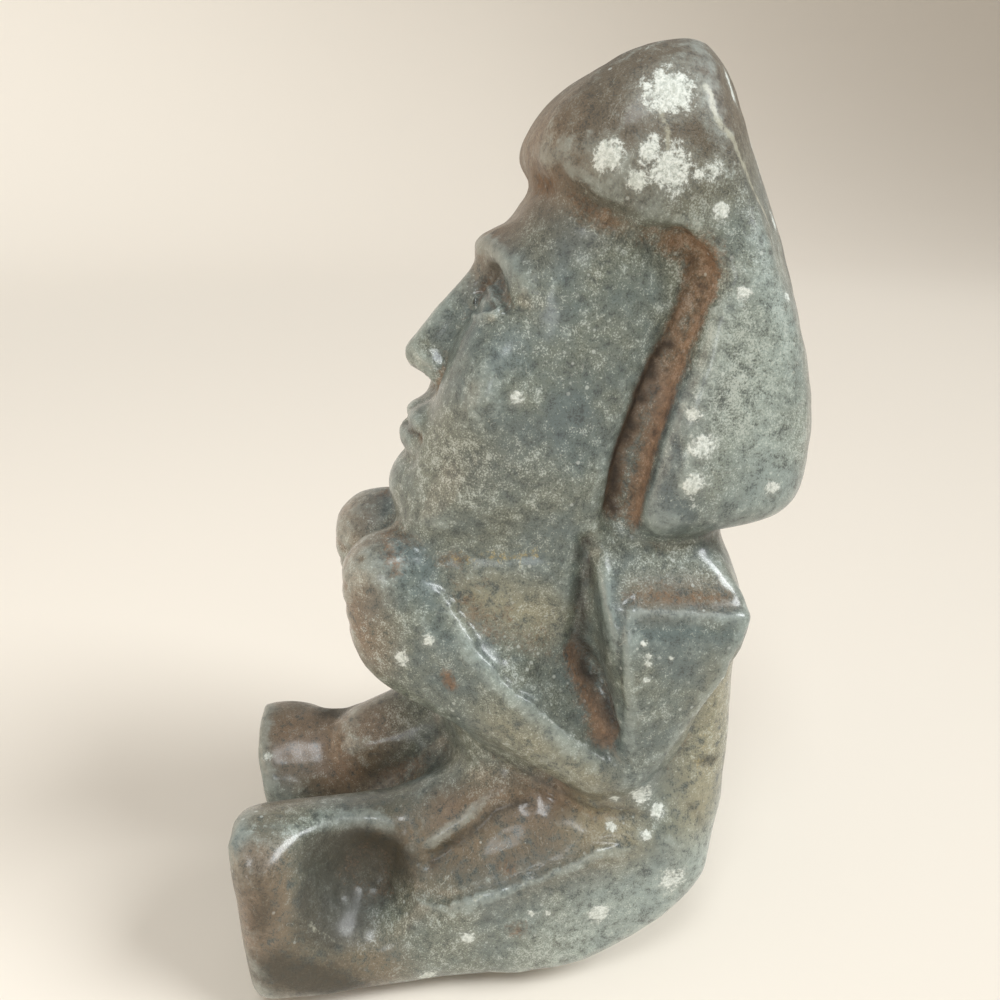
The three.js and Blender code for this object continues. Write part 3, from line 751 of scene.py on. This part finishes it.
# Thin dark veins, thin pale scratches, then a fine salt and pepper; the white salt specks are
# partly the stone's grain and partly painted glints.
threads = finish.noise(place, 60, 5, 0.6, 1.6)
thread = 1 - ((threads - 0.5) * (threads - 0.5)).maths("SQRT").above(0.0, 0.012)
tint = finish.blend(thread * patches.above(0.45, 0.6) * 0.5, tint, colour(54, 58, 54))
lines = finish.noise(place, 150, 2, 0.5, 0.8)
beside = ((lines - 0.55) * (lines - 0.55)).maths("SQRT")
scratch = (1 - beside.above(0.0, 0.007)) * mottle.above(0.5, 0.56)
tint = finish.blend(scratch * 0.45, tint, colour(182, 186, 174))
pepper = 1 - (grain + (patches - 0.5) * 0.9).above(0.34, 0.44)
tint = finish.blend(pepper * 0.55, tint, colour(42, 47, 45))
# White specks: partly the stone's grain, partly painted glints.
salt_and_glints = (grain + (patches - 0.5) * 0.9 + (cloud - 0.5) * 0.5).above(0.58, 0.7)
tint = finish.blend(
    salt_and_glints * (1 - finish.mask("warm").most(finish.mask("olive_and_shade")) * 0.7) * 0.45,
    tint,
    colour(200, 206, 198),
)

# Worn edges are rubbed lighter; stains and painted shade are dark olive.
tint = finish.blend(
    (worn + (patches - 0.5) * 1.6).above(0.4, 1.1) * 0.4, tint, colour(166, 178, 172)
)
# Dark olive: real stains down the back, painted shade on the feet and in the thigh's groove.
stained_or_shaded = (stain_and_shade + (mottle - 0.5) * 0.9 + (grit - 0.5) * 0.4).above(0.25, 0.9)
tint = finish.blend(stained_or_shaded * 0.8, tint, colour(50, 45, 33))

# Soil in the hollows: brown where thin, red-brown where packed.
packed = finish.mask("soil")
soil = (packed + hollow * 0.45 + (mottle - 0.5) * 1.4 + (grit - 0.5) * 1.3).above(0.3, 1.0)
earth = finish.blend(
    (patches + grit * 0.5).above(0.5, 0.9), colour(86, 64, 47), colour(146, 110, 80)
)
tint = finish.blend(soil * (0.4 + packed * 0.4), tint, earth)

# Painted shade, near-black, in the deepest cuts and the face's lines.
painted_crease_shade = (finish.mask("painted_crease_shade") + (patches - 0.5) * 0.8 + (grit - 0.5) * 0.8).above(0.3, 1.0)
tint = finish.blend(painted_crease_shade * 0.8, tint, colour(38, 36, 32))

# Yellow crust, pale veins and white chalk, grainy and thinning out at their edges; the chalk mask
# also holds the painted highlights along the shoulder's edge and the forearm's crest.
crust = (finish.mask("crust") + (patches - 0.5) * 1.5 + (grit - 0.5) * 1.2).above(0.5, 0.9)
tint = finish.blend(crust * 0.7, tint, colour(172, 156, 108))
vein = (finish.mask("vein") + (patches - 0.5) * 1.2 + (grit - 0.5) * 0.8).above(0.45, 0.9)
tint = finish.blend(vein * 0.55, tint, colour(182, 180, 160))
chalk_and_sheen_mask = finish.mask("chalk_and_sheen")
haze_and_sheen = (chalk_and_sheen_mask + (mottle - 0.5) * 0.8 + (grit - 0.5) * 0.8).above(0.1, 0.8)
tint = finish.blend(haze_and_sheen * 0.35, tint, colour(172, 178, 168))
chalk_and_sheen = (chalk_and_sheen_mask + (patches - 0.5) * 1.2 + (grit - 0.5) * 0.8).above(0.46, 0.7)
chalk_and_sheen_tint = finish.blend(
    (grit + grain * 0.5).above(0.6, 0.9), colour(184, 190, 182), colour(224, 228, 222)
)
tint = finish.blend(chalk_and_sheen * (0.9 - hollow * 0.3), tint, chalk_and_sheen_tint)
dots = finish.cells(place, 330)
dot = (1 - dots.above(0.1, 0.2)) * finish.noise(place, 90, 2).above(0.52, 0.62)
tint = finish.blend(dot * (1 - stained_or_shaded) * 0.45, tint, colour(204, 210, 204))

dull = soil.most(chalk_and_sheen).most(crust).most(stained_or_shaded * 0.6)
rough = 0.3 + grit * 0.2 + dull * 0.35 + finish.mask("warm") * 0.12
height = mottle * 0.9 + patches * 0.6 + grit * 0.35 + grain * 0.16
height = height - pepper * 0.1 + chalk_and_sheen * 0.25 + soil * grit * 0.7
relief = finish.node("Bump", {}, Strength=0.8, Distance=0.0005, Height=height)
shader = finish.node(
    "BsdfPrincipled",
    {},
    Base_Color=tint,
    Roughness=rough,
    Normal=relief,
    Coat_Weight=(1 - dull) * (1 - finish.mask("warm") * 0.7) * 0.7,
    Coat_Roughness=0.2,
)
finish.node("OutputMaterial", {}, shader)

stone.data.materials.clear()
stone.data.materials.append(finish.material)
choose(stone)
bpy.ops.object.shade_smooth()

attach(stone, "root")
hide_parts("stone_warrior")

# The floor is a pale round sheet whose rim curves up, so that no edge of it shows.
FLOOR_RADIUS = 2
SWEEP = 3.2
SWEEP_STEPS = 12
bpy.ops.mesh.primitive_circle_add(vertices=128, radius=FLOOR_RADIUS, fill_type="NGON")
floor = bpy.context.object
floor.name = "floor"
bpy.ops.object.mode_set(mode="EDIT")
bpy.ops.mesh.select_all(action="SELECT")
bpy.ops.mesh.region_to_loop()
reach = FLOOR_RADIUS
for step in range(SWEEP_STEPS):
    turn = math.radians(90) * (step + 0.5) / SWEEP_STEPS
    rise = SWEEP / SWEEP_STEPS
    wider = reach + rise * math.cos(turn)
    bpy.ops.mesh.extrude_region_move(
        TRANSFORM_OT_translate={"value": (0, 0, rise * math.sin(turn))}
    )
    bpy.ops.transform.resize(value=(wider / reach, wider / reach, 1))
    reach = wider
bpy.ops.object.mode_set(mode="OBJECT")
bpy.ops.object.shade_smooth_by_angle(angle=math.radians(30))
paper = Finish("pale_floor")
sheet = paper.node("BsdfPrincipled", {}, Base_Color=colour(230, 222, 210), Roughness=0.9)
paper.node("OutputMaterial", {}, sheet)
floor.data.materials.append(paper.material)


def light_from(name, kind, location, aim, power, tint, **settings):
    """A soft light turned from one place to another."""
    bpy.ops.object.light_add(type=kind, location=location)
    light = bpy.context.object
    light.name = name
    light.data.energy = power
    light.data.color = tint
    for key, value in settings.items():
        setattr(light.data, key, value)
    light.rotation_euler = (Vector(aim) - Vector(location)).to_track_quat("-Z", "Y").to_euler()


CHEST = (0, 0, 0.12)
light_from(
    "window", "SUN", (0.32, 0.95, 1.0), CHEST, 2.5, (0.95, 0.98, 1.0), angle=math.radians(24)
)
light_from("ceiling", "AREA", (0.35, -0.1, 0.8), CHEST, 2.4, (0.92, 0.97, 1.0), size=0.24)
light_from("front", "AREA", (0.9, -0.45, 0.35), CHEST, 1, (0.9, 0.96, 1.0), size=0.24)
light_from("wall", "AREA", (0.3, -0.9, 0.1), CHEST, 2, (1.0, 0.66, 0.42), size=0.7)

world = bpy.data.worlds.new("room")
bpy.context.scene.world = world
world.use_nodes = True
world.node_tree.nodes["Background"].inputs["Color"].default_value = (1.0, 0.97, 0.93, 1)
world.node_tree.nodes["Background"].inputs["Strength"].default_value = 0.42
bpy.context.scene.view_settings.view_transform = "Standard"
